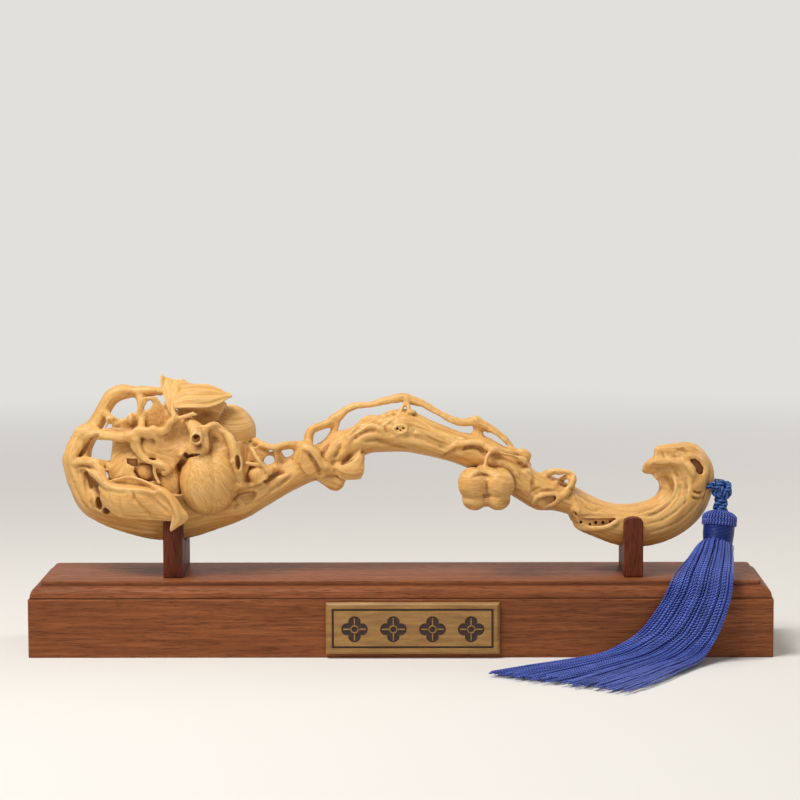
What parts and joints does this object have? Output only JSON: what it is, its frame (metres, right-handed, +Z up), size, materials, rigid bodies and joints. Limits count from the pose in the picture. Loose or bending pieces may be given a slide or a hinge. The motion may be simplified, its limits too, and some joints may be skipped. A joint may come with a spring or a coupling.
{
  "type": "carved ruyi scepter on stand",
  "caption": "Carved wooden ruyi scepter with persimmons and leaves at its head, lying in two cradles on a moulded base with a bare plate, and a silk tassel at its tail.",
  "frame": {"origin": "middle of the base board's underside", "axes": "+X along the base towards the scepter's tail and tassel, +Y from the name plate to the back, +Z up"},
  "size_m": [0.33, 0.1506, 0.1215],
  "materials": {
    "base_wood": "satin, open grain",
    "cradle_wood": "satin",
    "plate_wood": "satin",
    "boxwood": "hand-carved, lightly polished",
    "silk_cord": "satin cord",
    "silk_cap": "woven",
    "silk_band": "glossy wound thread",
    "silk_strands": "twisted silk threads"
  },
  "bodies": {
    "stand": {"plinth": "base_wood", "nameplate": "plate_wood", "cradle_left": "cradle_wood", "cradle_right": "cradle_wood"},
    "scepter": {"stem": "boxwood", "tail_scroll": "boxwood", "head_cup": "boxwood", "head_branch": "boxwood", "persimmon_front": "boxwood", "persimmon_left": "boxwood", "persimmon_rear": "boxwood", "calyx_front": "boxwood", "calyx_lobe": "boxwood", "stalk_stub": "boxwood", "cross_twig": "boxwood", "web_upright": "boxwood", "web_lower": "boxwood", "web_rear": "boxwood", "hanging_vine": "boxwood", "leaf_top": "boxwood", "leaf_front": "boxwood", "leaf_front_stalk": "boxwood", "leaf_back": "boxwood", "neck_knot": "boxwood", "neck_twig": "boxwood", "neck_strut": "boxwood", "collar_twig": "boxwood", "arch_twig": "boxwood", "arch_strut_left": "boxwood", "arch_strut_crown": "boxwood", "arch_strut_right": "boxwood", "stem_leaf": "boxwood", "stem_leaf_under": "boxwood", "fruit_twig": "boxwood", "fruit_stalk": "boxwood", "calyx_small": "boxwood", "persimmon_small": "boxwood", "bark_loop": "boxwood", "tassel_loop": "silk_cord"},
    "tassel": {"button_knot": "silk_cord", "tassel_cap": "silk_cap", "tassel_band": "silk_band", "tassel_skirt": "silk_strands"}
  },
  "joints": [
    {"name": "scepter_lift", "type": "slide", "parent": "stand", "child": "scepter", "axis": [0, 0, 1], "range_m": [0, 0.06]},
    {"name": "tassel_swing", "type": "hinge", "parent": "scepter", "child": "tassel", "pos_m": [0.1442, -0.0074, 0.0721], "axis": [-1, 0, 0], "range_deg": [0, 50]}
  ]
}
